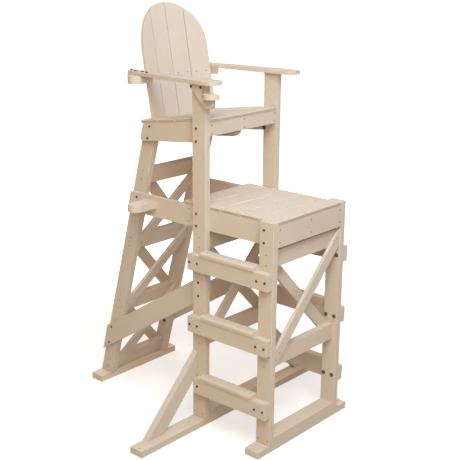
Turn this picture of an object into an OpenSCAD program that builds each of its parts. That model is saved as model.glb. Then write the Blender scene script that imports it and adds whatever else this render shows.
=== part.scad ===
/* [Lumber] */
// Thickness of the thick boards
board_t = 38; // [34:0.5:42]
// Width of the posts, legs, rungs and cross rails
post_w = 89; // [80:1:96]
// Width of the deck rails, seat joists and lower side braces
rail_w = 114; // [106:1:122]
// Thickness of the deck and seat rails and the lower side braces
rail_t = 25.4; // [22:0.2:30]
// Thickness of the deck, seat and arm boards
slat_t = 19; // [16:1:22]
// Thickness of the back slats
back_t = 16; // [14:0.5:20]
// Width of a deck, seat or back slat
slat_w = 124; // [118:1:130]
// Gap between neighbouring slats
slat_gap = 3; // [2:0.5:6]

/* [Frame] */
// Width over the outer faces of the posts
frame_w = 611; // [560:1:660]
// Length from the front posts back to the heel of the rear legs
base_len = 1368; // [1300:1:1440]
// From the front face of the front posts to the front face of the middle posts
post_step = 448; // [420:1:470]
// Height of the deck's top, where the front posts end
deck_h = 1238; // [1200:1:1280]
// Height of the arms' underside, where the middle posts end
arm_h = 1867; // [1800:1:1920]
// Distance behind the middle posts' front face at which the rear legs' rear face meets the seat
leg_setback = 495; // [480:1:510]
// Distance of a rear leg's heel in from the skid's rear edge
leg_inset = 4; // [0:0.5:12]

/* [Feet] */
// Half length of the front skid
front_skid_half = 394.5; // [340:0.5:450]
// Half length of the middle skid, which carries the outriggers
mid_skid_half = 786.5; // [700:0.5:860]
// Half length of the rear skid
rear_skid_half = 319; // [280:1:400]
// Height at which the top edge of an outrigger meets the post
outrigger_h = 430; // [380:1:480]

/* [Climbing side] */
// Height of the lowest rung's top
rung_first = 286; // [260:1:300]
// Rise from rung to rung
rung_rise = 349; // [330:1:355]
// Number of rungs on each side
rung_count = 3; // [1:1:3]
// Thickness of the tread strip on a rung
tread_t = 25.4; // [20:0.2:30]
// How far the tread strip stands out past its rung
tread_lip = 6; // [1:0.5:8]
// How far the tread strip laps over the posts' outer faces
tread_lap = 8; // [0:0.5:20]
// Rounding of the tread strip's outer edge
tread_round = 14; // [8:1:20]

/* [Bracing] */
// Bottom of the lower cross rail of the front and middle frames
low_rail_h = 459.5; // [440:0.5:480]
// Bottom of the upper cross rail of the front and middle frames
high_rail_h = 998.6; // [990:0.2:1010]
// Thickness of the diagonals
diagonal_t = 19; // [16:0.5:25]
// Width of the diagonals
diagonal_w = 63.5; // [50:0.5:76]
// Distance of the lowest rear cross rail's centre up the leg
rear_rail_first = 66; // [62:1:80]
// Distance between the rear cross rails' centres along the leg
rear_rail_step = 421; // [400:1:425]
// Rise of the lower side braces over their run
brace_rise = 0.638; // [0.6:0.002:0.67]
// Height of a lower side brace's centre line at the middle post's rear face
brace_h = 760; // [740:1:780]
// How far a side rail or brace ends short of a rear leg's rear face
rail_inset = 5; // [2:1:20]
// How far a brace's upper end reaches in from the middle post's rear face
brace_reach = 72; // [60:1:85]

/* [Seat] */
// Slope of the seat, in degrees
seat_slope = 8.03; // [5:0.01:11]
// How much the front slat is turned down from that slope, in degrees
seat_front_fall = 4.4; // [0:0.1:6]
// Distance from the arms' underside down to where the seat's slope reaches its front edge
seat_drop = 188; // [175:1:215]
// Height of the seat's front apron
seat_apron_w = 66; // [60:1:89]
// Number of seat slats
seat_slats_n = 4; // [4:1:4]
// Number of deck slats
deck_slats_n = 5; // [5:1:5]

/* [Back] */
// Number of back slats
back_slats_n = 4; // [4:1:4]
// Lean of the back from upright, in degrees
back_lean = 10.5; // [8:0.5:13]
// Radius that the back slats stand round
back_radius = 650; // [600:10:800]
// Distance of the back's middle behind the seat's front edge, where it meets the seat
back_setback = 467; // [455:1:475]
// Height of the arched top above the arms' underside
back_rise = 361; // [300:1:400]

/* [Arms] */
// Outer edge of an arm from the middle of the chair, at the front
arm_out_front = 351; // [340:1:360]
// Outer edge of an arm from the middle of the chair, at the back
arm_out_rear = 300; // [295:1:315]
// Inner edge of an arm from the middle of the chair, ahead of the back
arm_in = 250; // [244:1:256]
// Inner edge of an arm from the middle of the chair, behind the back
arm_in_rear = 235; // [225:1:245]
// How far the right arm reaches ahead of the middle post
arm_nose_right = 87; // [70:1:110]
// How far the left arm reaches ahead of the middle post
arm_nose_left = 111; // [90:1:120]
// Rounding of an arm's front corners
arm_round = 45; // [30:1:48]
// Reach of the crosspiece's right end from the middle of the chair
cross_right = 280; // [270:1:290]
// Reach of the crosspiece's left end from the middle of the chair
cross_left = 264; // [260:1:290]
// How far the crosspiece's ends reach ahead of the back's middle
cross_front = 93; // [80:1:110]
// How far the crosspiece reaches behind the front of the back's middle
cross_rear = 72; // [50:1:80]

/* [Gear pegs] */
// How far the deck peg reaches out from the deck rail
deck_peg_len = 159.5; // [120:0.5:200]
// Height of the deck peg's top
deck_peg_h = 1196; // [1180:1:1210]
// Distance from the arm's underside down to the top of the bracket, which carries the front peg
bracket_drop = 68; // [60:1:90]
// Thickness of the bracket
bracket_t = 19; // [16:1:25]
// Thickness of the front peg
front_peg_t = 25.4; // [20:0.2:38]
// How far the front peg reaches out from the bracket's outer face
front_peg_len = 33.5; // [30:0.5:60]
// How far the rear peg hangs below the crosspiece
rear_peg_drop = 3; // [0:1:15]
// How far the rear peg reaches out past the crosspiece's end
rear_peg_len = 62; // [50:1:80]

/* [Hidden] */
$fn = 64;
tan_face = "#d9c9b1";
tan_shade = "#c9b697";

// The chair faces +X, its right side is -Y, and the origin is at the middle of its footprint.
front_x = base_len / 2;
rear_x = -base_len / 2;
mid_x = front_x - post_step;
post_out = frame_w / 2;
post_in = post_out - board_t;
rail_in = post_in - rail_t;
leg_in = rail_in - board_t;
rail_side = (post_w - board_t) / 2;
slat_step = slat_w + slat_gap;
deck_under = deck_h - slat_t;
deck_rail_h = deck_under - rail_w;
deck_len = deck_slats_n * slat_step - slat_gap;
seat_len = seat_slats_n * slat_step - slat_gap;
seat_rail_h = arm_h - seat_drop;
seat_rise = tan(seat_slope);
leg_top = mid_x - leg_setback;
leg_lean = atan((leg_top - rear_x - leg_inset) / (seat_under(leg_top) - board_t));
leg_foot = post_w / cos(leg_lean);
cut = 1;
far_reach = 2000;

// Heights on the seat: the rails' top and the slats' top above a place x.
function seat_under(x) = seat_rail_h + seat_rise * (x - mid_x);
function seat_top(x) = seat_under(x) + slat_t / cos(seat_slope);

// The front slat is turned down at the edge it has towards the next slat.
knee_x = mid_x - slat_w * cos(seat_slope);
front_rise = tan(seat_slope - seat_front_fall);
function front_under(x) = seat_under(knee_x) + front_rise * (x - knee_x);

// Where the front of the back's middle stands at a height z.
back_x = mid_x - back_setback;
function back_at(z) = back_x - tan(back_lean) * (z - seat_top(back_x));

module block(x, y, z) {
    translate([x[0], y[0], z[0]])
        cube([x[1] - x[0], y[1] - y[0], z[1] - z[0]]);
}

// The left-hand twin of what is drawn on the right.
module left() {
    mirror([0, 1, 0]) children();
}

// A board that lies in a plane seen from the side: points are [x, z].
module side_board(points, y_from, thick) {
    translate([0, y_from + thick, 0]) rotate([90, 0, 0])
        linear_extrude(thick) polygon(points);
}

// A board that lies in a plane seen from the front: points are [y, z].
module cross_board(points, x_from, thick) {
    translate([x_from, 0, 0]) rotate([90, 0, 90])
        linear_extrude(thick) polygon(points);
}

// Axes of the leaning rear legs: z runs up the leg, x is square to it, towards the front.
module on_legs() {
    translate([rear_x + leg_inset, 0, board_t]) rotate([0, leg_lean, 0]) children();
}

// Axes of the seat: x runs up the slope to the front edge, z is square to the slats.
module on_seat() {
    translate([mid_x, 0, seat_rail_h]) rotate([0, -seat_slope, 0]) children();
}

// Axes of the back: z runs up the slats, x is square to them, and 0 is where the middle meets the seat.
module on_back() {
    translate([back_x, 0, seat_top(back_x)]) rotate([0, -back_lean, 0]) children();
}

module skid(x_front, half) {
    color(tan_face) block([x_front - post_w, x_front], [-half, half], [0, board_t]);
}

module front_skid() { skid(front_x, front_skid_half); }

module middle_skid() { skid(mid_x, mid_skid_half); }

module rear_skid() { skid(rear_x + post_w, rear_skid_half); }

// One sill on each of the two post skids, between its posts.
module post_sills() {
    color(tan_face) for (x = [front_x, mid_x])
        block([x - post_w, x], [-post_in, post_in], [board_t, 2 * board_t]);
}

module post(x_front, top) {
    color(tan_face) block([x_front - post_w, x_front], [-post_out, -post_in], [board_t, top]);
}

module front_post_right() { post(front_x, deck_h); }

module front_post_left() { left() front_post_right(); }

module middle_post_right() { post(mid_x, arm_h); }

module middle_post_left() { left() middle_post_right(); }

// A leaning leg stands on the rear skid and ends under the seat slats.
module rear_leg_right() {
    heel = rear_x + leg_inset;
    toe = heel + leg_foot;
    lean = tan(leg_lean);
    top_rear = (seat_under(heel) - board_t) / (1 - seat_rise * lean);
    top_front = (seat_under(toe) - board_t) / (1 - seat_rise * lean);
    color(tan_face) side_board([
        [heel, board_t],
        [toe, board_t],
        [toe + top_front * lean, board_t + top_front],
        [heel + top_rear * lean, board_t + top_rear]
    ], -rail_in, board_t);
}

module rear_leg_left() { left() rear_leg_right(); }

// A strut at 45 degrees from the middle skid up to the post's outer face, on each side.
module outrigger() {
    slant = post_w * sqrt(2);
    foot = post_out + outrigger_h - board_t;
    cross_board([
        [-foot, board_t],
        [-foot + slant, board_t],
        [-post_out, outrigger_h - slant],
        [-post_out, outrigger_h]
    ], mid_x - post_w, board_t);
}

module outriggers() {
    color(tan_face) {
        outrigger();
        left() outrigger();
    }
}

// The rungs are bolted to the posts' outer faces. The lowest one stops at the outrigger.
rung_end = 2;
rung_tail = 4;
module rungs_right() {
    color(tan_face) for (i = [0 : rung_count - 1]) {
        top = rung_first + i * rung_rise;
        tail = i == 0 ? mid_x - post_w + board_t : mid_x - post_w - rung_tail;
        block([tail, front_x - rung_end], [-post_out - board_t, -post_out], [top - post_w, top]);
    }
}

module rungs_left() { left() rungs_right(); }

// A tread strip lies on each rung between the posts, with its outer edge rounded.
module tread(z) {
    depth = board_t + tread_lip;
    translate([mid_x, -post_out, z]) rotate([90, 0, 90])
        linear_extrude(post_step - post_w) difference() {
            translate([-depth, 0]) square([depth + tread_lap, tread_t]);
            translate([-depth, tread_t - tread_round]) difference() {
                translate([-cut, 0]) square([tread_round + cut, tread_round + cut]);
                translate([tread_round, 0]) circle(r = tread_round);
            }
        }
}

module treads_right() {
    color(tan_face) for (i = [0 : rung_count - 1]) tread(rung_first + i * rung_rise);
}

module treads_left() { left() treads_right(); }

// Cross rails stand on edge between a pair of posts, in the middle of the posts' depth.
module cross_rails(x_front) {
    color(tan_shade) for (z = [low_rail_h, high_rail_h])
        block([x_front - rail_side - board_t, x_front - rail_side], [-post_in, post_in], [z, z + post_w]);
}

module front_cross_rails() { cross_rails(front_x); }

module middle_cross_rails() { cross_rails(mid_x); }

// A diagonal joins two cross rails, from one's end to the other's: z_low and z_high are their middles,
// and it rises to the left side where the turn is 1, or to the right side where it is -1.
module diagonal(x_from, half_width, z_low, z_high, turn) {
    slope = turn * atan((z_high - z_low) / (2 * half_width));
    translate([x_from, 0, 0]) rotate([90, 0, 90]) linear_extrude(diagonal_t) intersection() {
        translate([-half_width, z_low - post_w]) square([2 * half_width, z_high - z_low + 2 * post_w]);
        translate([0, (z_low + z_high) / 2]) rotate(slope) square([far_reach, diagonal_w], center = true);
    }
}

// The crossed pair of a frame: one on the front of its cross rails and one on the back.
module frame_diagonals(x_front) {
    low = low_rail_h + post_w / 2;
    high = high_rail_h + post_w / 2;
    color(tan_shade) {
        diagonal(x_front - rail_side, post_in, low, high, 1);
        diagonal(x_front - rail_side - board_t - diagonal_t, post_in, low, high, -1);
    }
}

module front_diagonals() { frame_diagonals(front_x); }

module middle_diagonals() { frame_diagonals(mid_x); }

// Four cross rails climb the rear legs, and each of the three bays has a crossed pair of diagonals.
module rear_cross_rails() {
    color(tan_shade) on_legs() for (i = [0 : 3]) {
        low = rear_rail_first + i * rear_rail_step - post_w / 2;
        block([rail_side, rail_side + board_t], [-leg_in, leg_in], [low, low + post_w]);
    }
}

module rear_diagonals(x_from, turn) {
    color(tan_shade) on_legs() for (i = [0 : 2]) {
        low = rear_rail_first + i * rear_rail_step;
        diagonal(x_from, leg_in, low, low + rear_rail_step, turn);
    }
}

module rear_diagonals_front() { rear_diagonals(rail_side + board_t, 1); }

module rear_diagonals_back() { rear_diagonals(rail_side - diagonal_t, -1); }

// A sloping brace ties each rear leg to the middle post on the inner side of the post.
module side_brace_right() {
    half = rail_w / 2 * sqrt(1 + brace_rise * brace_rise);
    tail_x = rear_x - far_reach / 10;
    base_x = mid_x - post_w;
    tip_x = base_x + brace_reach;
    color(tan_shade) intersection() {
        side_board([
            [tail_x, brace_h + brace_rise * (tail_x - base_x) - half],
            [tip_x, brace_h + brace_rise * (tip_x - base_x) - half],
            [tip_x, brace_h + brace_rise * (tip_x - base_x) + half],
            [tail_x, brace_h + brace_rise * (tail_x - base_x) + half]
        ], -post_in, rail_t);
        on_legs() block([rail_inset, far_reach], [-post_in - cut, -rail_in + cut], [-far_reach, far_reach]);
    }
}

module side_brace_left() { left() side_brace_right(); }

// The deck rails run from the apron back past the rear legs, where they are cut to the legs' slope.
module deck_rail_right() {
    color(tan_shade) intersection() {
        block([rear_x, front_x - board_t], [-post_in, -rail_in], [deck_rail_h, deck_under]);
        on_legs() block([rail_inset, far_reach], [-post_in - cut, -rail_in + cut], [-far_reach, far_reach]);
    }
}

module deck_rail_left() { left() deck_rail_right(); }

module deck_apron() {
    color(tan_face) block([front_x - board_t, front_x], [-post_in, post_in], [deck_rail_h, deck_under]);
}

module deck_joist() {
    color(tan_shade) block([front_x - deck_len + board_t, front_x - board_t],
        [-board_t / 2, board_t / 2], [deck_rail_h, deck_under]);
}

module deck_header() {
    color(tan_shade) block([front_x - deck_len, front_x - deck_len + board_t],
        [-rail_in, rail_in], [deck_rail_h, deck_under]);
}

module deck_slats() {
    color(tan_face) for (i = [0 : deck_slats_n - 1]) {
        x = front_x - i * slat_step;
        block([x - slat_w, x], [-post_in, post_in], [deck_under, deck_h]);
    }
}

// Side view of a seat rail: its top carries the slats and bends under the front one, the slats
// overhang it at the back, its underside tapers to the back, and its lower corners are clipped.
seat_rail_front = 113.5;
seat_rail_rear = 95;
seat_overhang = 23;
seat_nose_clip = 20;
seat_tail_clip = 12;
module seat_rail(y_from, thick) {
    front = mid_x - board_t;
    rear = mid_x - seat_slats_n * slat_step + seat_overhang;
    low_front = seat_under(front) - seat_rail_front;
    low_rear = seat_under(rear) - seat_rail_rear;
    color(tan_shade) side_board([
        [knee_x, seat_under(knee_x)],
        [front, front_under(front)],
        [front, low_front + seat_nose_clip],
        [front - seat_nose_clip, low_front],
        [rear - seat_tail_clip, low_rear],
        [rear - 2 * seat_tail_clip, low_rear + seat_tail_clip],
        [rear, seat_under(rear)]
    ], y_from, thick);
}

module seat_rail_right() { seat_rail(-post_in, rail_t); }

module seat_rail_left() { left() seat_rail_right(); }

module seat_joist() { seat_rail(-board_t / 2, board_t); }

// The apron's top is cut to the front slat's slope.
module seat_apron() {
    rear = mid_x - board_t;
    low = front_under(rear) - seat_apron_w;
    color(tan_face) side_board([
        [rear, low],
        [mid_x, low],
        [mid_x, front_under(mid_x)],
        [rear, front_under(rear)]
    ], -post_in, 2 * post_in);
}

module seat_slats() {
    color(tan_face) on_seat() for (i = [0 : seat_slats_n - 1])
        translate([-i * slat_step - slat_w, 0, 0]) rotate([0, i == 0 ? seat_front_fall : 0, 0])
            block([0, slat_w], [-post_in, post_in], [0, slat_t]);
}

// The room of the back slats, each square to the radius, from behind their faces to a depth in front.
slat_angle = 2 * asin(slat_step / 2 / back_radius);
module back_shape(ahead, gap, low, high) {
    for (i = [0 : back_slats_n - 1]) {
        turn = (i - (back_slats_n - 1) / 2) * slat_angle;
        translate([back_radius, 0, 0]) rotate([0, 0, turn])
            block([-back_radius - back_t, -back_radius + ahead],
                [-slat_w / 2 - gap, slat_w / 2 + gap], [low, high]);
    }
}

module back_slats() {
    half = back_radius * sin(slat_angle * back_slats_n / 2);
    height = (arm_h + back_rise - seat_top(back_x)) / cos(back_lean);
    color(tan_face) difference() {
        on_back() intersection() {
            back_shape(0, 0, -slat_w, height + cut);
            rotate([90, 0, 90]) translate([0, 0, -far_reach / 2]) linear_extrude(far_reach) union() {
                translate([-half - cut, -far_reach / 4])
                    square([2 * half + 2 * cut, far_reach / 4 + height - half]);
                translate([0, height - half]) circle(r = half, $fn = 128);
            }
        }
        on_seat() block([-far_reach, far_reach], [-post_out, post_out], [-far_reach, slat_t]);
    }
}

// A short cleat behind the slats' feet holds the middle of the back to the seat.
cleat_half = 120;
cleat_back = 55;
module back_cleat() {
    color(tan_shade) difference() {
        block([back_x - cleat_back, back_x + cleat_back], [-cleat_half, cleat_half],
            [seat_top(back_x) - board_t, seat_top(back_x) + board_t]);
        on_back() back_shape(far_reach / 4, slat_gap, -far_reach / 4, far_reach / 4);
        on_seat() block([-far_reach, far_reach], [-post_out, post_out], [-far_reach, slat_t]);
    }
}

// The crosspiece under the arms wraps round the back, which it holds.
cross_notch = 256;
module back_crosspiece() {
    middle = back_at(arm_h);
    color(tan_shade) difference() {
        block([middle - cross_rear, middle + cross_front], [-cross_right, cross_left],
            [arm_h - board_t, arm_h]);
        on_back() back_shape(far_reach / 4, slat_gap, -far_reach / 4, far_reach / 4);
        block([middle, mid_x], [-cross_notch, cross_notch], [arm_h - rail_w, arm_h + cut]);
    }
}

// Points on a quarter turn round a corner.
function corner(cx, cy, r, from) = [for (i = [0 : 8]) [cx + r * cos(from + i * 90 / 8), cy + r * sin(from + i * 90 / 8)]];

// An arm is wide at the front and draws in to the back of the chair, where it is notched round the back.
arm_past = 3;
arm_corner = 20;
module arm(nose) {
    front = mid_x + nose;
    rear = back_at(arm_h) - cross_rear - arm_past;
    notch = back_at(arm_h) + back_t;
    color(tan_face) difference() {
        translate([0, 0, arm_h]) linear_extrude(slat_t) polygon(concat(
            corner(front - arm_round, -arm_in - arm_round, arm_round, 0),
            [[notch, -arm_in], [notch, -arm_in_rear]],
            corner(rear + arm_corner, -arm_in_rear - arm_corner, arm_corner, 90),
            corner(rear + arm_round, -arm_out_rear + arm_round, arm_round, 180),
            [[mid_x, -arm_out_front]],
            corner(front - arm_round, -arm_out_front + arm_round, arm_round, 270)
        ));
        on_back() back_shape(far_reach / 4, slat_gap, -far_reach / 4, far_reach / 4);
    }
}

module arm_right() { arm(arm_nose_right); }

module arm_left() { left() arm(arm_nose_left); }

// The bracket is fixed to the right middle post under the arm, and its foot reaches forward to carry
// the front peg. Its rear edge slopes at 45 degrees to the toe, where the foot's underside starts.
bracket_inset = 8;
bracket_top_len = 83;
bracket_toe = 14.7;
bracket_foot = 68;
bracket_low = 118.5;
bracket_knee = 38;
bracket_round = 24;
module gear_bracket() {
    upright = mid_x - bracket_inset;
    front = mid_x + bracket_foot;
    toe = mid_x + bracket_toe;
    knee = toe - bracket_low + bracket_knee;
    low = arm_h - bracket_low;
    color(tan_shade) side_board(concat(
        [
            [upright, arm_h],
            [upright - bracket_top_len, arm_h],
            [knee - bracket_knee / 4, arm_h - bracket_knee * 3 / 4],
            [knee, arm_h - bracket_knee],
            [toe, low]
        ],
        corner(front - bracket_round, low + bracket_round, bracket_round, 270),
        [
            [front, arm_h - bracket_drop],
            [upright, arm_h - bracket_drop]
        ]
    ), -post_out - bracket_t, bracket_t);
}

// A flat peg with a half-round tip: it starts at y_root and its tip reaches y_tip.
module peg(x_mid, y_root, y_tip, z, thick) {
    translate([x_mid, 0, z]) linear_extrude(thick) {
        translate([-post_w / 2, y_tip + post_w / 2]) square([post_w, y_root - y_tip - post_w / 2]);
        intersection() {
            translate([0, y_tip + post_w / 2]) circle(d = post_w);
            translate([-post_w / 2, y_tip]) square([post_w, post_w / 2]);
        }
    }
}

// Three pegs on the right side: on the bracket, at the crosspiece's end, and on the deck rail.
front_peg_inset = 6.5;
rear_peg_ahead = 11.5;
deck_peg_setback = 387.5;
module gear_pegs() {
    peg_front = mid_x + front_peg_inset + post_w / 2;
    peg_rear = back_at(arm_h) + rear_peg_ahead;
    peg_deck = mid_x - deck_peg_setback - post_w / 2;
    color(tan_face) {
        peg(peg_front, -post_out, -post_out - bracket_t - front_peg_len,
            arm_h - bracket_drop, front_peg_t);
        peg(peg_rear, -cross_right, -cross_right - rear_peg_len,
            arm_h - board_t - rear_peg_drop, board_t + rear_peg_drop);
        peg(peg_deck, -post_in, -post_in - deck_peg_len, deck_peg_h - board_t, board_t);
    }
}

front_skid();
middle_skid();
rear_skid();
post_sills();
front_post_right();
front_post_left();
middle_post_right();
middle_post_left();
rear_leg_right();
rear_leg_left();
outriggers();
rungs_right();
rungs_left();
treads_right();
treads_left();
front_cross_rails();
front_diagonals();
middle_cross_rails();
middle_diagonals();
rear_cross_rails();
rear_diagonals_front();
rear_diagonals_back();
side_brace_right();
side_brace_left();
deck_rail_right();
deck_rail_left();
deck_joist();
deck_header();
deck_apron();
deck_slats();
seat_rail_right();
seat_rail_left();
seat_joist();
seat_apron();
seat_slats();
back_slats();
back_cleat();
back_crosspiece();
arm_right();
arm_left();
gear_bracket();
gear_pegs();
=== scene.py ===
import math
import bmesh
import bpy
from mathutils import Matrix, Vector
from mathutils.bvhtree import BVHTree


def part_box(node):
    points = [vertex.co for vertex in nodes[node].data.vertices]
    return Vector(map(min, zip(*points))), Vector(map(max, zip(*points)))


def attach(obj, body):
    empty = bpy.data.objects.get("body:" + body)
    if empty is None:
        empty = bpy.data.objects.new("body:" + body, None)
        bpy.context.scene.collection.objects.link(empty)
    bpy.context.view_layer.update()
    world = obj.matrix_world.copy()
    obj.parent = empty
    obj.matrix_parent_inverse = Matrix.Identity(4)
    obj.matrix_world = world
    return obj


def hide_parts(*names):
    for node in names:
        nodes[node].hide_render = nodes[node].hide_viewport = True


# Lifeguard chair of plastic lumber: the boards are the frame's own solids, eased and given their
# grain, and the bolts, nuts and screws that hold them are modelled here.
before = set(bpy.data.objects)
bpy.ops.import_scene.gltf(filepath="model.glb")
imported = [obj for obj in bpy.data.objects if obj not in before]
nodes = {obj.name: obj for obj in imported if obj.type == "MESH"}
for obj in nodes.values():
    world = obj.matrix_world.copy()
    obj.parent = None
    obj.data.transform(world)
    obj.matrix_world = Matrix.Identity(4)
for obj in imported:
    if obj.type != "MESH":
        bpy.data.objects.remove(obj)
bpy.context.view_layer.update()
scene = bpy.context.scene
bpy.ops.object.select_all(action='DESELECT')
print("frame loaded:", len(nodes), "boards and groups of boards")


def nodeBox(name):
    low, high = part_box(name)
    return low, high


def addSocket(group, name, kind, way, value=None):
    socket = group.interface.new_socket(name=name, in_out=way, socket_type=kind)
    if value is not None:
        socket.default_value = value
    return socket


def makeGrainGroup():
    group = bpy.data.node_groups.new("boardGrain", "ShaderNodeTree")
    addSocket(group, "Vector", 'NodeSocketVector', 'INPUT')
    addSocket(group, "Pale", 'NodeSocketColor', 'INPUT', (0.7, 0.6, 0.47, 1))
    addSocket(group, "Deep", 'NodeSocketColor', 'INPUT', (0.6, 0.5, 0.38, 1))
    addSocket(group, "Streaks", 'NodeSocketFloat', 'INPUT', 0.5)
    addSocket(group, "Specks", 'NodeSocketFloat', 'INPUT', 0.25)
    addSocket(group, "Color", 'NodeSocketColor', 'OUTPUT')
    addSocket(group, "Tone", 'NodeSocketFloat', 'OUTPUT')
    addSocket(group, "Height", 'NodeSocketFloat', 'OUTPUT')
    tree = group.nodes
    link = group.links.new
    entry = tree.new("NodeGroupInput")
    leave = tree.new("NodeGroupOutput")

    def noise(scale, detail, rough, stretch):
        place = tree.new("ShaderNodeMapping")
        place.inputs["Scale"].default_value = stretch
        texture = tree.new("ShaderNodeTexNoise")
        texture.inputs["Scale"].default_value = scale
        texture.inputs["Detail"].default_value = detail
        texture.inputs["Roughness"].default_value = rough
        link(entry.outputs["Vector"], place.inputs["Vector"])
        link(place.outputs["Vector"], texture.inputs["Vector"])
        return texture.outputs["Fac"]

    def sums(operation, one, two):
        node = tree.new("ShaderNodeMath")
        node.operation = operation
        for socket, value in zip(node.inputs, (one, two)):
            if isinstance(value, (int, float)):
                socket.default_value = value
            else:
                link(value, socket)
        return node.outputs[0]

    streak = noise(90, 4, 0.6, (0.045, 1, 1))       # long streaks left by the extruder
    mottle = noise(5, 3, 0.5, (0.5, 1, 1))          # slow change of shade along a board
    speck = noise(520, 2, 0.7, (0.6, 1, 1))         # fine foamed skin
    streakPart = sums('MULTIPLY', sums('SUBTRACT', streak, 0.5), entry.outputs["Streaks"])
    mottlePart = sums('MULTIPLY', sums('SUBTRACT', mottle, 0.5), 0.55)
    speckPart = sums('MULTIPLY', sums('SUBTRACT', speck, 0.5), entry.outputs["Specks"])
    tone = sums('ADD', sums('ADD', sums('ADD', streakPart, mottlePart), speckPart), 0.5)
    mix = tree.new("ShaderNodeMix")
    mix.data_type = 'RGBA'
    link(tone, mix.inputs[0])
    link(entry.outputs["Deep"], mix.inputs[6])
    link(entry.outputs["Pale"], mix.inputs[7])
    link(mix.outputs[2], leave.inputs["Color"])
    link(tone, leave.inputs["Tone"])
    link(sums('ADD', sums('MULTIPLY', streak, 0.5), sums('MULTIPLY', speck, 0.5)), leave.inputs["Height"])
    return group


grainGroup = makeGrainGroup()

lumber = {
    "pale": (0.660, 0.544, 0.449),
    "deep": (0.600, 0.484, 0.386),
    "streaks": 0.55,
    "specks": 0.35,
    "roughness": (0.66, 0.8),
    "bump": 0.18,
    "bumpDepth": 0.0005,
    "ease": 0.003,
    "roundEase": 0.0055,
    "easeAngle": 32,
    "weld": 0.00002,
    "batch": 0.012,
    "shift": (0.37, 0.21, 0.13),
    "flatWeight": 90,
}


def lumberMaterial(name, turn, change=(1, 1, 1), shift=(0, 0, 0)):
    # turn brings the board's length onto the X axis of the grain
    material = bpy.data.materials.new(name)
    material.use_nodes = True
    tree = material.node_tree
    link = tree.links.new
    shader = tree.nodes["Principled BSDF"]
    coords = tree.nodes.new("ShaderNodeTexCoord")
    place = tree.nodes.new("ShaderNodeMapping")
    place.inputs["Rotation"].default_value = turn
    place.inputs["Location"].default_value = shift
    grain = tree.nodes.new("ShaderNodeGroup")
    grain.node_tree = grainGroup
    grain.inputs["Pale"].default_value = tuple(c * k for c, k in zip(lumber["pale"], change)) + (1,)
    grain.inputs["Deep"].default_value = tuple(c * k for c, k in zip(lumber["deep"], change)) + (1,)
    grain.inputs["Streaks"].default_value = lumber["streaks"]
    grain.inputs["Specks"].default_value = lumber["specks"]
    rough = tree.nodes.new("ShaderNodeMapRange")
    rough.inputs["To Min"].default_value = lumber["roughness"][1]
    rough.inputs["To Max"].default_value = lumber["roughness"][0]
    bump = tree.nodes.new("ShaderNodeBump")
    bump.inputs["Strength"].default_value = lumber["bump"]
    bump.inputs["Distance"].default_value = lumber["bumpDepth"]
    link(coords.outputs["Object"], place.inputs["Vector"])
    link(place.outputs["Vector"], grain.inputs["Vector"])
    link(grain.outputs["Color"], shader.inputs["Base Color"])
    link(grain.outputs["Tone"], rough.inputs["Value"])
    link(rough.outputs["Result"], shader.inputs["Roughness"])
    link(grain.outputs["Height"], bump.inputs["Height"])
    link(bump.outputs["Normal"], shader.inputs["Normal"])
    shader.inputs["Specular IOR Level"].default_value = 0.25
    return material


upright = (0, math.radians(90), 0)
across = (0, 0, math.radians(90))
along = (0, 0, 0)
legLean = math.radians(15)
seatSlope = math.radians(8.03)
backLean = math.radians(10.5)
braceFall = math.radians(32.5)
boardWays = {
    "lumberAlong": (along, ["rungs_right", "rungs_left", "treads_right", "treads_left", "deck_rail_right",
                            "deck_rail_left", "deck_joist", "arm_right", "arm_left"]),
    "lumberAcross": (across, ["front_skid", "middle_skid", "rear_skid", "post_sills", "front_cross_rails",
                              "middle_cross_rails", "rear_cross_rails", "deck_header", "deck_apron",
                              "deck_slats", "seat_apron", "seat_slats", "back_cleat", "back_crosspiece",
                              "gear_pegs"]),
    "lumberUpright": (upright, ["front_post_right", "front_post_left", "middle_post_right",
                                "middle_post_left", "gear_bracket"]),
    "lumberLeg": ((0, math.radians(90) - legLean, 0), ["rear_leg_right", "rear_leg_left"]),
    "lumberBrace": ((0, braceFall, 0), ["side_brace_right", "side_brace_left"]),
    "lumberSeat": ((0, seatSlope, 0), ["seat_rail_right", "seat_rail_left", "seat_joist"]),
    "lumberBack": ((0, math.radians(90) + backLean, 0), ["back_slats"]),
    "lumberStrut": ((math.radians(-45), 0, math.radians(90)), ["outriggers"]),
    "lumberDiagonal": ((math.radians(45), 0, math.radians(90)),
                       ["front_diagonals", "middle_diagonals", "rear_diagonals_front",
                        "rear_diagonals_back"]),
}


def makeSmoothGroup():
    group = bpy.data.node_groups.new("smoothFaces", "GeometryNodeTree")
    group.interface.new_socket(name="Geometry", in_out='INPUT', socket_type='NodeSocketGeometry')
    group.interface.new_socket(name="Geometry", in_out='OUTPUT', socket_type='NodeSocketGeometry')
    entry = group.nodes.new("NodeGroupInput")
    smooth = group.nodes.new("GeometryNodeSetShadeSmooth")
    leave = group.nodes.new("NodeGroupOutput")
    group.links.new(entry.outputs[0], smooth.inputs[0])
    group.links.new(smooth.outputs[0], leave.inputs[0])
    return group


smoothGroup = makeSmoothGroup()
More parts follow.
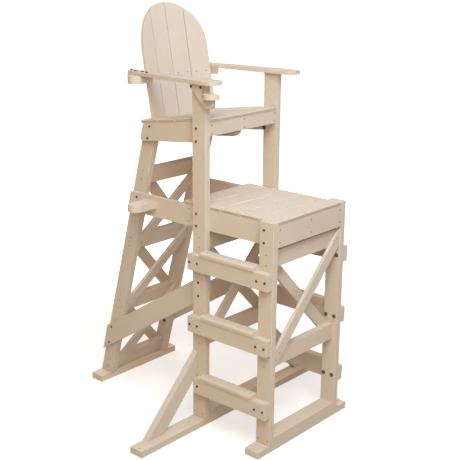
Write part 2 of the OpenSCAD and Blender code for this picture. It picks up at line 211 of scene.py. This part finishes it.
# the boards a guard handles have their edges rolled further
rounded = ["arm_right", "arm_left", "gear_pegs", "back_crosspiece"]
for wayName, (turn, members) in boardWays.items():
    for count, member in enumerate(members):
        # each node gets its own shift and a slightly different batch of plastic
        change = 1 + lumber["batch"] * math.sin(3.7 * count + len(wayName))
        shift = tuple(step * count for step in lumber["shift"])
        material = lumberMaterial(wayName + "_" + member, turn, (change,) * 3, shift)
        board = nodes[member]
        board.data.materials.clear()
        board.data.materials.append(material)
        weld = board.modifiers.new("weld", 'WELD')
        weld.merge_threshold = lumber["weld"]
        smooth = board.modifiers.new("smooth", 'NODES')
        smooth.node_group = smoothGroup
        ease = board.modifiers.new("ease", 'BEVEL')
        ease.width = lumber["roundEase"] if member in rounded else lumber["ease"]
        ease.segments = 3
        ease.limit_method = 'ANGLE'
        ease.angle_limit = math.radians(lumber["easeAngle"])
        # the flat faces keep one shade each and only the eased edges turn
        even = board.modifiers.new("even", 'WEIGHTED_NORMAL')
        even.mode = 'FACE_AREA_WITH_ANGLE'
        even.weight = lumber["flatWeight"]
        even.keep_sharp = False
print("boards eased and given their grain")

# the deck's and the seat's slats have rolled noses and ends, which the frame's solids leave square
slatEdge = {"upper": 0.0055, "lower": 0.0050, "corner": 0.003, "between": 0.0002, "setBack": 0.002,
            "jointShade": (0.74, 0.70, 0.64), "noseBand": 0.004, "endBand": 0.0005, "rise": 0.004}
# the darker tint for the slats' noses and ends is painted shade along their joints with the apron and the
# rails
slatJointShade = lumberMaterial("lumberJointShade", across, slatEdge["jointShade"], (0.5, 0.3, 0.1))


def isSquare(edge):
    return len(edge.link_faces) == 2 and edge.calc_face_angle() > math.radians(60)


def rollSlats(name, member):
    bpy.ops.object.select_all(action='DESELECT')
    source = nodes[member]
    piece = source.copy()
    piece.data = source.data.copy()
    piece.name = name
    piece.modifiers.clear()
    scene.collection.objects.link(piece)
    piece.select_set(True)
    bpy.context.view_layer.objects.active = piece
    bpy.ops.mesh.customdata_custom_splitnormals_clear()
    bpy.ops.object.mode_set(mode='EDIT')
    bpy.ops.mesh.select_mode(type='EDGE')
    bpy.ops.mesh.select_all(action='SELECT')
    bpy.ops.mesh.remove_doubles(threshold=lumber["weld"])
    bpy.ops.mesh.dissolve_limited(angle_limit=math.radians(1))
    mesh = bmesh.from_edit_mesh(piece.data)
    nose = max(v.co.x for v in mesh.verts) - slatEdge["noseBand"]
    endFace = max(v.co.y for v in mesh.verts) - slatEdge["endBand"]
    # noses and ends stand a little behind the apron's and the rails' faces
    for ways, test in (((-1, 0, 0), lambda v: v.co.x > nose), ((0, -1, 0), lambda v: v.co.y > endFace),
                       ((0, 1, 0), lambda v: v.co.y < -endFace)):
        mesh = bmesh.from_edit_mesh(piece.data)
        bpy.ops.mesh.select_mode(type='VERT')
        bpy.ops.mesh.select_all(action='DESELECT')
        for vert in mesh.verts:
            vert.select_set(test(vert))
        bmesh.update_edit_mesh(piece.data)
        bpy.ops.transform.translate(value=tuple(slatEdge["setBack"] * w for w in ways))
    bpy.ops.mesh.select_mode(type='EDGE')
    nose -= slatEdge["setBack"]
    endFace -= slatEdge["setBack"]
    for part, way in (("lower", -1), ("upper", 1)):
        bpy.ops.mesh.select_all(action='DESELECT')
        mesh = bmesh.from_edit_mesh(piece.data)
        for edge in mesh.edges:
            one, two = (v.co for v in edge.verts)
            outer = (one.x > nose and two.x > nose) or (abs(one.y) > endFace and abs(two.y) > endFace)
            flat = any(f.normal.z * way > 0.9 for f in edge.link_faces)
            edge.select_set(outer and flat and isSquare(edge))
        bmesh.update_edit_mesh(piece.data)
        bpy.ops.mesh.bevel(offset=slatEdge[part], segments=5, affect='EDGES', clamp_overlap=True)
    # the slats' own corners at their ends
    bpy.ops.mesh.select_all(action='DESELECT')
    mesh = bmesh.from_edit_mesh(piece.data)
    for edge in mesh.edges:
        one, two = (v.co for v in edge.verts)
        atEnd = abs(one.y) > endFace and abs(two.y) > endFace
        edge.select_set(isSquare(edge) and atEnd and abs(one.z - two.z) > slatEdge["rise"])
    bmesh.update_edit_mesh(piece.data)
    bpy.ops.mesh.bevel(offset=slatEdge["corner"], segments=3, affect='EDGES', clamp_overlap=True)
    # the flat of each nose and end gets a darker material: painted shade of the joint against the apron and
    # the rails
    piece.data.materials.append(slatJointShade)
    mesh = bmesh.from_edit_mesh(piece.data)
    bpy.ops.mesh.select_mode(type='FACE')
    bpy.ops.mesh.select_all(action='DESELECT')
    for face in mesh.faces:
        middle = face.calc_center_median()
        onNose = face.normal.x > 0.98 and middle.x > nose
        onEnd = abs(face.normal.y) > 0.99 and abs(middle.y) > endFace
        face.select_set(onNose or onEnd)
    bmesh.update_edit_mesh(piece.data)
    piece.active_material_index = 1
    bpy.ops.object.material_slot_assign()
    bpy.ops.object.mode_set(mode='OBJECT')
    bpy.ops.object.shade_smooth()
    ease = piece.modifiers.new("ease", 'BEVEL')
    ease.width = slatEdge["between"]
    ease.segments = 2
    ease.limit_method = 'ANGLE'
    ease.angle_limit = math.radians(lumber["easeAngle"])
    even = piece.modifiers.new("even", 'WEIGHTED_NORMAL')
    even.mode = 'FACE_AREA_WITH_ANGLE'
    even.weight = lumber["flatWeight"]
    bpy.ops.object.modifier_apply(modifier="ease")
    bpy.ops.object.modifier_apply(modifier="even")
    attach(piece, "root")
    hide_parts(member)
    return piece


rollSlats("deckSlats", "deck_slats")
rollSlats("seatSlats", "seat_slats")
print("slats' noses and ends rolled")

# the fasteners' very dark brown is partly their own coating and partly painted shade of the counterbored
# holes they sit in
fastenerPaint = {"darkEnd": (0.085, 0.034, 0.009), "rubbed": (0.17, 0.078, 0.026), "roughness": (0.5, 0.7),
                 "metallic": 0.0, "patches": 260}
tanPaint = {"darkEnd": (0.24, 0.13, 0.06), "rubbed": (0.34, 0.21, 0.11), "roughness": (0.5, 0.7),
            "metallic": 0.0, "patches": 260}


def fastenerMaterial(name, paint):
    material = bpy.data.materials.new(name)
    material.use_nodes = True
    tree = material.node_tree
    link = tree.links.new
    shader = tree.nodes["Principled BSDF"]
    coords = tree.nodes.new("ShaderNodeTexCoord")
    noise = tree.nodes.new("ShaderNodeTexNoise")
    noise.inputs["Scale"].default_value = paint["patches"]
    noise.inputs["Detail"].default_value = 3
    ramp = tree.nodes.new("ShaderNodeValToRGB")
    ramp.color_ramp.elements[0].position = 0.35
    ramp.color_ramp.elements[0].color = paint["darkEnd"] + (1,)
    ramp.color_ramp.elements[1].position = 0.75
    ramp.color_ramp.elements[1].color = paint["rubbed"] + (1,)
    rough = tree.nodes.new("ShaderNodeMapRange")
    rough.inputs["To Min"].default_value = paint["roughness"][1]
    rough.inputs["To Max"].default_value = paint["roughness"][0]
    link(coords.outputs["Object"], noise.inputs["Vector"])
    link(noise.outputs["Fac"], ramp.inputs["Fac"])
    link(ramp.outputs["Color"], shader.inputs["Base Color"])
    link(noise.outputs["Fac"], rough.inputs["Value"])
    link(rough.outputs["Result"], shader.inputs["Roughness"])
    shader.inputs["Metallic"].default_value = paint["metallic"]
    return material


# the dark fastener material: the heads' own colour together with painted shade of their counterbores
darkHeadsAndHoleShade = fastenerMaterial("darkHeadsAndHoleShade", fastenerPaint)
tanSteel = fastenerMaterial("tanSteel", tanPaint)


def pickFaces(mesh, test):
    for face in mesh.faces:
        face.select_set(test(face))
    mesh.select_flush_mode()


def startPiece(name):
    piece = bpy.context.object
    piece.name = name
    bpy.ops.object.mode_set(mode='EDIT')
    bpy.ops.mesh.select_mode(type='FACE')
    bpy.ops.mesh.select_all(action='DESELECT')
    return piece, bmesh.from_edit_mesh(piece.data)


# Each head stands on z = 0 and looks up.
boltHead = {"radius": 0.0068, "height": 0.0036, "sunk": 0.001, "round": 0.0016, "hole": 0.0034,
            "holeDepth": 0.0026}
# the screw heads are dark discs barely proud of the board: partly heads, partly painted shade of counterbores
screwHead = {"radius": 0.0040, "height": 0.0003, "sunk": 0.0014, "round": 0.0003, "hole": 0.0022,
             "holeDepth": 0.0010}
apronScrewHead = {"radius": 0.0052, "height": 0.0003, "sunk": 0.0014, "round": 0.0003, "hole": 0.0030,
                  "holeDepth": 0.0010}
deckScrewHead = {"radius": 0.0034, "height": 0.0003, "sunk": 0.0014, "round": 0.0003, "hole": 0.0015,
                 "holeDepth": 0.0010}
hexBolt = {"washer": 0.0105, "washerHeight": 0.0016, "nut": 0.0075, "nutHeight": 0.0056, "stud": 0.0,
           "studHeight": 0.0}
washerNut = {"washer": 0.0112, "washerHeight": 0.0018, "nut": 0.0082, "nutHeight": 0.0065, "stud": 0.0045,
             "studHeight": 0.0035}


nutEase = {"sunk": 0.001, "washer": 0.0006, "nut": 0.0008}


def addRound(sides, radius, depth, middle):
    bpy.ops.object.select_all(action='DESELECT')
    bpy.ops.mesh.primitive_cylinder_add(vertices=sides, radius=radius, depth=depth,
                                        location=(0, 0, middle))
    bpy.ops.object.transform_apply(location=True, rotation=False, scale=False)


def roundTop(piece, mesh, width, segments):
    pickFaces(mesh, lambda f: f.normal.z > 0.9)
    bmesh.update_edit_mesh(piece.data)
    bpy.ops.mesh.bevel(offset=width, segments=segments, affect='EDGES')


def makeHead(name, spec, sides, paint):
    addRound(sides, spec["radius"], spec["height"] + spec["sunk"], (spec["height"] - spec["sunk"]) / 2)
    piece, mesh = startPiece(name)
    roundTop(piece, mesh, spec["round"], 3)
    mesh = bmesh.from_edit_mesh(piece.data)
    highest = max(v.co.z for v in mesh.verts)
    pickFaces(mesh, lambda f: f.normal.z > 0.98 and f.calc_center_median().z > highest - 1e-5)
    bmesh.update_edit_mesh(piece.data)
    bpy.ops.mesh.inset(thickness=spec["radius"] - spec["round"] - spec["hole"])
    bpy.ops.mesh.extrude_region_move(TRANSFORM_OT_translate={"value": (0, 0, -spec["holeDepth"])})
    bpy.ops.mesh.select_all(action='SELECT')
    bpy.ops.mesh.normals_make_consistent(inside=False)
    bpy.ops.object.mode_set(mode='OBJECT')
    bpy.ops.object.shade_smooth_by_angle(angle=math.radians(35))
    piece.data.materials.append(paint)
    return piece


def makeNut(name, spec):
    washer = spec["washerHeight"]
    addRound(24, spec["washer"], washer + nutEase["sunk"], (washer - nutEase["sunk"]) / 2)
    piece, mesh = startPiece(name)
    roundTop(piece, mesh, nutEase["washer"], 2)
    bpy.ops.object.mode_set(mode='OBJECT')
    parts = [piece]
    shapes = [(spec["nut"], spec["nutHeight"], 6)]
    if spec["stud"] > 0:
        shapes.append((spec["stud"], spec["nutHeight"] + spec["studHeight"], 16))
    for radius, height, sides in shapes:
        addRound(sides, radius, height, height / 2 + washer / 2)
        part, mesh = startPiece(name + "Part")
        roundTop(part, mesh, nutEase["nut"], 2)
        bpy.ops.object.mode_set(mode='OBJECT')
        parts.append(part)
    bpy.ops.object.select_all(action='DESELECT')
    for part in parts:
        part.select_set(True)
    bpy.context.view_layer.objects.active = piece
    bpy.ops.object.join()
    bpy.ops.object.shade_smooth_by_angle(angle=math.radians(35))
    piece.data.materials.clear()
    piece.data.materials.append(darkHeadsAndHoleShade)
    return piece


boltMaster = makeHead("boltMaster", boltHead, 24, darkHeadsAndHoleShade)
screwMaster = makeHead("screwMaster", screwHead, 16, darkHeadsAndHoleShade)
deckScrewMaster = makeHead("deckScrewMaster", deckScrewHead, 16, tanSteel)
apronScrewMaster = makeHead("apronScrewMaster", apronScrewHead, 16, darkHeadsAndHoleShade)
nutMaster = makeNut("nutMaster", washerNut)
hexMaster = makeNut("hexMaster", hexBolt)
headSpin = 1.7          # radians from one head to the next


def setHeads(name, master, places):
    # one piece of many heads: each is set at its point, looking along its normal
    copies = []
    for count, (point, normal) in enumerate(places):
        copy = master.copy()
        copy.data = master.data.copy()
        turn = Vector(normal).to_track_quat('Z', 'Y').to_matrix().to_4x4()
        spin = Matrix.Rotation(headSpin * count, 4, 'Z')
        copy.data.transform(Matrix.Translation(Vector(point)) @ turn @ spin)
        scene.collection.objects.link(copy)
        copies.append(copy)
    bpy.ops.object.select_all(action='DESELECT')
    for copy in copies:
        copy.select_set(True)
    bpy.context.view_layer.objects.active = copies[0]
    bpy.ops.object.join()
    piece = bpy.context.object
    piece.name = name
    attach(piece, "root")
    return piece


def bothSides(places):
    return places + [((x, -y, z), (a, -b, c)) for (x, y, z), (a, b, c) in places]


faceTrees = {}


def onBoard(name, start, way):
    # the point and normal where a line from start meets a board
    if name not in faceTrees:
        mesh = nodes[name].data
        faceTrees[name] = BVHTree.FromPolygons([v.co.copy() for v in mesh.vertices],
                                               [tuple(p.vertices) for p in mesh.polygons])
    point, normal = faceTrees[name].ray_cast(Vector(start), Vector(way))[:2]
    if point is None:
        print("no board met:", name, tuple(start))
        return []
    return [(tuple(point), tuple(normal))]


frontPostLow, frontPostHigh = nodeBox("front_post_right")
middlePostHigh = nodeBox("middle_post_right")[1]
rungLow, rungHigh = nodeBox("rungs_right")
railLow, railHigh = nodeBox("deck_rail_right")
seatApronHigh = nodeBox("seat_apron")[1]
legLow, legHigh = nodeBox("rear_leg_right")
frontX = frontPostHigh.x
middleX = middlePostHigh.x
postFace = frontPostLow.y          # outer face of the right posts
postInner = frontPostHigh.y
rungFace = rungLow.y
railFace = railLow.y
rightWay = (0, -1, 0)
leftWay = (0, 1, 0)
upWay = (0, 0, 1)
downWay = (0, 0, -1)
frontWay = (1, 0, 0)
backWay = (-1, 0, 0)

rungFix = {"rise": 0.349, "count": 3, "height": 0.089, "fromPost": (0.0195, 0.0725),
           "fromMiddle": (0.023, 0.076)}
rungBolts = []
rungNuts = []
for level in range(rungFix["count"]):
    z = rungHigh.z - level * rungFix["rise"] - rungFix["height"] / 2
    columns = [frontX - d for d in rungFix["fromPost"]] + [middleX - d for d in rungFix["fromMiddle"]]
    if level == rungFix["count"] - 1:
        columns = columns[:3]          # the lowest rung stops short at the outrigger
    for x in columns:
        rungBolts.append(((x, rungFace, z), rightWay))
        rungNuts.append(((x, postInner, z), leftWay))
setHeads("rungBolts", boltMaster, bothSides(rungBolts))
setHeads("rungNuts", nutMaster, bothSides(rungNuts))

# the posts' outer faces: deck rail, seat rail and brace bolts, and the cross rails' screws
postFix = {"railHeights": (1.1950, 1.1295), "seatHeights": (1.6386, 1.5729), "braceHeights": (0.8207, 0.7465),
           "lowScrews": (0.5307, 0.4773), "highScrews": (1.0698, 1.0164),
           "fromFront": 0.060, "fromMiddle": 0.062, "braceIn": 0.0495, "screwIn": 0.0445}
postBolts = [((frontX - postFix["fromFront"], postFace, z), rightWay) for z in postFix["railHeights"]]
postBolts += [((middleX - postFix["fromMiddle"], postFace, z), rightWay)
              for z in postFix["railHeights"] + postFix["seatHeights"]]
postBolts += [((middleX - postFix["braceIn"], postFace, z), rightWay) for z in postFix["braceHeights"]]
setHeads("postBolts", boltMaster, bothSides(postBolts))
postScrews = [((x - postFix["screwIn"], postFace, z), rightWay) for x in (frontX, middleX)
              for z in postFix["lowScrews"] + postFix["highScrews"]]
setHeads("postScrews", screwMaster, bothSides(postScrews))

# bolts where the rails and braces cross the rear legs
legFix = {"deck": (-0.3086, 1.1949), "seat": ((-0.1990, 1.599), (-0.2155, 1.535)),
          "brace": ((-0.552, 0.356), (-0.577, 0.251))}
legBolts = [((legFix["deck"][0], railFace, legFix["deck"][1]), rightWay)]
legBolts += [((x, railFace, z), rightWay) for x, z in legFix["seat"] + legFix["brace"]]
setHeads("legBolts", boltMaster, bothSides(legBolts))

# apron, header and sill screws
apronFix = {"rows": (1.1955, 1.131), "seatRows": (1.656, 1.613), "columns": (-0.2545, 0.0, 0.2545),
            "headerX": 0.086, "headerRows": (1.198, 1.132), "sillX": (0.1605, 0.2174, 0.6088, 0.671),
            "sillZ": 0.064}
apronScrews = [((frontX, y, z), frontWay) for y in apronFix["columns"] for z in apronFix["rows"]]
apronScrews += [((seatApronHigh.x, y, z), frontWay)
                for y in apronFix["columns"] for z in apronFix["seatRows"]]
setHeads("apronScrews", apronScrewMaster, apronScrews)
headerScrews = [((apronFix["headerX"], railFace, z), rightWay) for z in apronFix["headerRows"]]
headerScrews += [((x, postFace, apronFix["sillZ"]), rightWay) for x in apronFix["sillX"]]
setHeads("headerScrews", screwMaster, bothSides(headerScrews))

# pairs of screws through the legs into each rear cross rail
legRise = Vector((math.sin(legLean), 0, math.cos(legLean)))
legOut = Vector((math.cos(legLean), 0, -math.sin(legLean)))
legRows = {"first": 0.066, "step": 0.421, "count": 4, "up": 0.0085, "apart": 0.026, "foot": 0.038,
           "middle": 0.0445, "railThick": 0.0254}
legFoot = Vector((legLow.x, 0, legRows["foot"]))
legScrews = []
for i in range(legRows["count"]):
    for side in (-1, 1):
        up = legRows["first"] + i * legRows["step"] + legRows["up"] + side * legRows["apart"]
        spot = legFoot + legOut * legRows["middle"] + legRise * up
        legScrews.append(((spot.x, railFace + legRows["railThick"], spot.z), rightWay))
setHeads("legScrews", screwMaster, bothSides(legScrews))

# nuts on the inner faces, behind the rail, brace and leg bolts
railInner = railHigh.y
legInner = legHigh.y
nutFix = {"rails": ((0.174, 1.6386), (0.174, 1.5729), (0.174, 1.195), (0.174, 1.1295), (0.624, 1.195),
                    (0.624, 1.1295), (0.1865, 0.8207), (0.1865, 0.7465)),
          "legs": ((-0.552, 0.356), (-0.577, 0.251), (-0.3086, 1.1949), (-0.199, 1.599),
                   (-0.2155, 1.535))}
innerNuts = [((x, railInner, z), leftWay) for x, z in nutFix["rails"]]
innerNuts += [((x, legInner, z), leftWay) for x, z in nutFix["legs"]]
setHeads("innerNuts", nutMaster, bothSides(innerNuts))

# screws down into the skids, and the ends of the crossed diagonals
skidSpots = [(0.2006, 0.7687), (0.2006, -0.7687), (0.1886, 0.384), (0.1886, -0.384), (0.646, 0.3772),
             (0.646, -0.3772)]
skidScrews = []
for x, y in skidSpots:
    skidScrews += onBoard("front_skid" if x > 0.5 else "middle_skid", (x, y, 0.2), downWay)
setHeads("skidScrews", screwMaster, skidScrews)
diagonalSpots = [(0.2454, 1.0424), (0.2145, 1.0129), (-0.2247, 0.5385), (-0.2589, 0.5084)]
rearSpots = [(-0.1875, 0.9125), (-0.1574, 0.5279), (-0.1912, 0.4963), (0.0545, 0.9966), (-0.1893, 0.0746),
             (-0.2275, 0.0139)]
diagonalScrews = []
for member, x in (("front_diagonals", frontX + 0.2), ("middle_diagonals", middleX + 0.1)):
    for side in (-1, 1):
        for y, z in diagonalSpots:
            diagonalScrews += onBoard(member, (x, side * y, z), backWay)
for side in (-1, 1):
    for y, up in rearSpots:          # some of these meet a diagonal on one side only, or on neither
        start = legFoot + legRise * up + legOut * 0.3 + Vector((0, side * y, 0))
        diagonalScrews += onBoard("rear_diagonals_front", start, -legOut)
setHeads("diagonalScrews", screwMaster, diagonalScrews)

# the back slats' row, the arms' bolts and the bracket's bolts
backSpots = {"height": 1.851, "columns": (0.0322, 0.0975, 0.1586, 0.2174)}
backScrews = []
for y in backSpots["columns"]:
    for side in (-1, 1):
        backScrews += onBoard("back_slats", (0.5, side * y, backSpots["height"]), backWay)
setHeads("backScrews", screwMaster, backScrews)
armSpots = [(-0.342, 0.2545), (-0.294, 0.272), (-0.2344, 0.2777), (-0.1868, 0.2934)]
aboveArms = 2.3
armBolts = []
for x, y in armSpots:
    armBolts += onBoard("arm_right", (x, -y, aboveArms), downWay)
for x, y in armSpots[:2]:          # the left arm has the rear pair only
    armBolts += onBoard("arm_left", (x, y, aboveArms), downWay)
setHeads("armBolts", hexMaster, armBolts)
bracketSpots = [(0.1587, 1.8498), (0.2226, 1.8507)]
bracketBolts = []
for x, z in bracketSpots:
    bracketBolts += onBoard("gear_bracket", (x, -0.6, z), leftWay)
setHeads("bracketBolts", boltMaster, bracketBolts)

# small tan screws in each slat over each rail and over the joist, and a row along the front slat
slatFix = {"count": 5, "step": 0.127, "width": 0.124, "inset": 0.028, "rows": (-0.2485, 0.0, 0.2485),
           "frontInset": 0.018, "frontRow": (-0.221, -0.079, 0.079, 0.221)}
deckTop = nodeBox("deck_slats")[1].z
deckScrews = [((frontX - i * slatFix["step"] - d, y, deckTop), upWay)
              for i in range(slatFix["count"])
              for d in (slatFix["inset"], slatFix["width"] - slatFix["inset"])
              for y in slatFix["rows"] if i > 0 or d > 0.05]
deckScrews += [((frontX - slatFix["frontInset"], y, deckTop), upWay) for y in slatFix["frontRow"]]
setHeads("deckScrews", deckScrewMaster, deckScrews)

# five screws in a zigzag down each tread
treadFix = {"columns": (0.252, 0.330, 0.412, 0.490, 0.568), "rows": (0.317, 0.336)}
treadTop = nodeBox("treads_right")[1].z
treadScrews = [((x, -treadFix["rows"][i % 2], treadTop - level * rungFix["rise"]), upWay)
               for level in range(rungFix["count"]) for i, x in enumerate(treadFix["columns"])]
setHeads("treadScrews", deckScrewMaster, bothSides(treadScrews))
print("fasteners set")

stageLook = {"floor": (0.55, 0.55, 0.55), "lift": 0.5, "farLift": 1.0, "reach": (1.3, 3.2),
             "horizon": (0.245, 0.125, 0.058), "zenith": (0.315, 0.185, 0.108), "span": 60,
             "roughness": 0.45}


def whiteRays(tree):
    # 1 for the rays that should meet a white ground or backdrop
    path = tree.nodes.new("ShaderNodeLightPath")
    addOne = tree.nodes.new("ShaderNodeMath")
    addOne.operation = 'MAXIMUM'
    addTwo = tree.nodes.new("ShaderNodeMath")
    addTwo.operation = 'MAXIMUM'
    tree.links.new(path.outputs["Is Camera Ray"], addOne.inputs[0])
    tree.links.new(path.outputs["Is Glossy Ray"], addOne.inputs[1])
    tree.links.new(addOne.outputs[0], addTwo.inputs[0])
    tree.links.new(path.outputs["Is Transmission Ray"], addTwo.inputs[1])
    return addTwo.outputs[0]


world = bpy.data.worlds.new("studio")
scene.world = world
world.use_nodes = True
worldTree = world.node_tree
soft = worldTree.nodes["Background"]
# the room is lighter overhead than round the sides
skyCoords = worldTree.nodes.new("ShaderNodeTexCoord")
skySplit = worldTree.nodes.new("ShaderNodeSeparateXYZ")
skyMix = worldTree.nodes.new("ShaderNodeMix")
skyMix.data_type = 'RGBA'
skyMix.clamp_factor = True
skyMix.inputs[6].default_value = stageLook["horizon"] + (1,)
skyMix.inputs[7].default_value = stageLook["zenith"] + (1,)
worldTree.links.new(skyCoords.outputs["Generated"], skySplit.inputs[0])
worldTree.links.new(skySplit.outputs["Z"], skyMix.inputs[0])
worldTree.links.new(skyMix.outputs[2], soft.inputs["Color"])
soft.inputs["Strength"].default_value = 1.0
white = worldTree.nodes.new("ShaderNodeBackground")
white.inputs["Color"].default_value = (1, 1, 1, 1)
white.inputs["Strength"].default_value = 1.0
pick = worldTree.nodes.new("ShaderNodeMixShader")
worldTree.links.new(whiteRays(worldTree), pick.inputs[0])
worldTree.links.new(soft.outputs[0], pick.inputs[1])
worldTree.links.new(white.outputs[0], pick.inputs[2])
worldTree.links.new(pick.outputs[0], worldTree.nodes["World Output"].inputs[0])

bpy.ops.object.select_all(action='DESELECT')
bpy.ops.mesh.primitive_plane_add(size=stageLook["span"], location=(0, 0, 0))
floor = bpy.context.object
floor.name = "floor"
floorPaint = bpy.data.materials.new("floorPaint")
floorPaint.use_nodes = True
floorTree = floorPaint.node_tree
floorShader = floorTree.nodes["Principled BSDF"]
floorShader.inputs["Base Color"].default_value = stageLook["floor"] + (1,)
floorShader.inputs["Roughness"].default_value = stageLook["roughness"]
floorShader.inputs["Specular IOR Level"].default_value = 0.0
floorShader.inputs["Emission Color"].default_value = (1, 1, 1, 1)
# seen directly the floor is lifted to white, a little near the chair and fully farther out
floorCoords = floorTree.nodes.new("ShaderNodeTexCoord")
floorSpan = floorTree.nodes.new("ShaderNodeVectorMath")
floorSpan.operation = 'LENGTH'
floorTree.links.new(floorCoords.outputs["Object"], floorSpan.inputs[0])
floorFade = floorTree.nodes.new("ShaderNodeMapRange")
floorFade.interpolation_type = 'SMOOTHSTEP'
floorFade.inputs["From Min"].default_value = stageLook["reach"][0]
floorFade.inputs["From Max"].default_value = stageLook["reach"][1]
floorFade.inputs["To Min"].default_value = stageLook["lift"]
floorFade.inputs["To Max"].default_value = stageLook["farLift"]
floorTree.links.new(floorSpan.outputs["Value"], floorFade.inputs["Value"])
liftBy = floorTree.nodes.new("ShaderNodeMath")
liftBy.operation = 'MULTIPLY'
floorTree.links.new(whiteRays(floorTree), liftBy.inputs[0])
floorTree.links.new(floorFade.outputs["Result"], liftBy.inputs[1])
floorTree.links.new(liftBy.outputs[0], floorShader.inputs["Emission Strength"])
floor.data.materials.append(floorPaint)

lamps = {
    "cameraSoft": {"at": (3.0, -3.4, 3.8), "aim": (0, 0, 1.1),
                   "size": 3.4, "energy": 155, "color": (1, 0.99, 0.81)},
    "cameraHigh": {"at": (4.0, -4.4, 8.6), "aim": (0, 0, 0.9),
                   "size": 3.6, "energy": 279, "color": (0.94, 1, 0.82)},
    "topSoft": {"at": (-0.5, -1.5, 9.5), "aim": (0, 0, 0.8),
                "size": 4.0, "energy": 93, "color": (0.02, 0.35, 1)},
    "highSoft": {"at": (2.4, -1.0, 4.3), "aim": (0, 0, 1.9),
                 "size": 1.6, "energy": 87, "color": (0.40, 0.69, 1)},
    "rearSoft": {"at": (-5.0, 1.4, 2.2), "aim": (0, 0, 1.2),
                 "size": 3.0, "energy": 150, "color": (1, 0.98, 0.9)},
    "leftSoft": {"at": (0.6, 5.0, 2.2), "aim": (0, 0, 1.2),
                 "size": 3.0, "energy": 115, "color": (1, 0.97, 0.9)},
}
for lampName, spec in lamps.items():
    light = bpy.data.lights.new(lampName, 'AREA')
    light.shape = 'SQUARE'
    light.size = spec["size"]
    light.energy = spec["energy"]
    light.color = spec["color"]
    lamp = bpy.data.objects.new(lampName, light)
    scene.collection.objects.link(lamp)
    lamp.location = spec["at"]
    lamp.rotation_euler = (Vector(spec["aim"]) - Vector(spec["at"])).to_track_quat('-Z', 'Y').to_euler()
    lamp.visible_camera = False

cameraSpec = {"at": (3.3586, -3.7374, 2.4792), "azimuth": 42.21, "elevation": 17.055, "roll": 0.05,
              "lens": 73.50, "shift": (0.0512, 0.0258)}
azimuth = math.radians(cameraSpec["azimuth"])
elevation = math.radians(cameraSpec["elevation"])
back = Vector((math.sin(azimuth) * math.cos(elevation), -math.cos(azimuth) * math.cos(elevation),
               math.sin(elevation)))
right = Vector((math.cos(azimuth), math.sin(azimuth), 0))
up = back.cross(right)
roll = math.radians(cameraSpec["roll"])
rightRolled = right * math.cos(roll) + up * math.sin(roll)
upRolled = up * math.cos(roll) - right * math.sin(roll)
cameraData = bpy.data.cameras.new("camera")
cameraData.lens = cameraSpec["lens"]
cameraData.sensor_width = 36
cameraData.shift_x, cameraData.shift_y = cameraSpec["shift"]
camera = bpy.data.objects.new("camera", cameraData)
scene.collection.objects.link(camera)
camera.matrix_world = Matrix((
    (rightRolled.x, upRolled.x, back.x, cameraSpec["at"][0]),
    (rightRolled.y, upRolled.y, back.y, cameraSpec["at"][1]),
    (rightRolled.z, upRolled.z, back.z, cameraSpec["at"][2]),
    (0, 0, 0, 1)))
scene.camera = camera
scene.view_settings.view_transform = 'Standard'

for master in (boltMaster, screwMaster, deckScrewMaster, apronScrewMaster, nutMaster, hexMaster):
    bpy.data.objects.remove(master)

print("stage, lamps and camera ready")
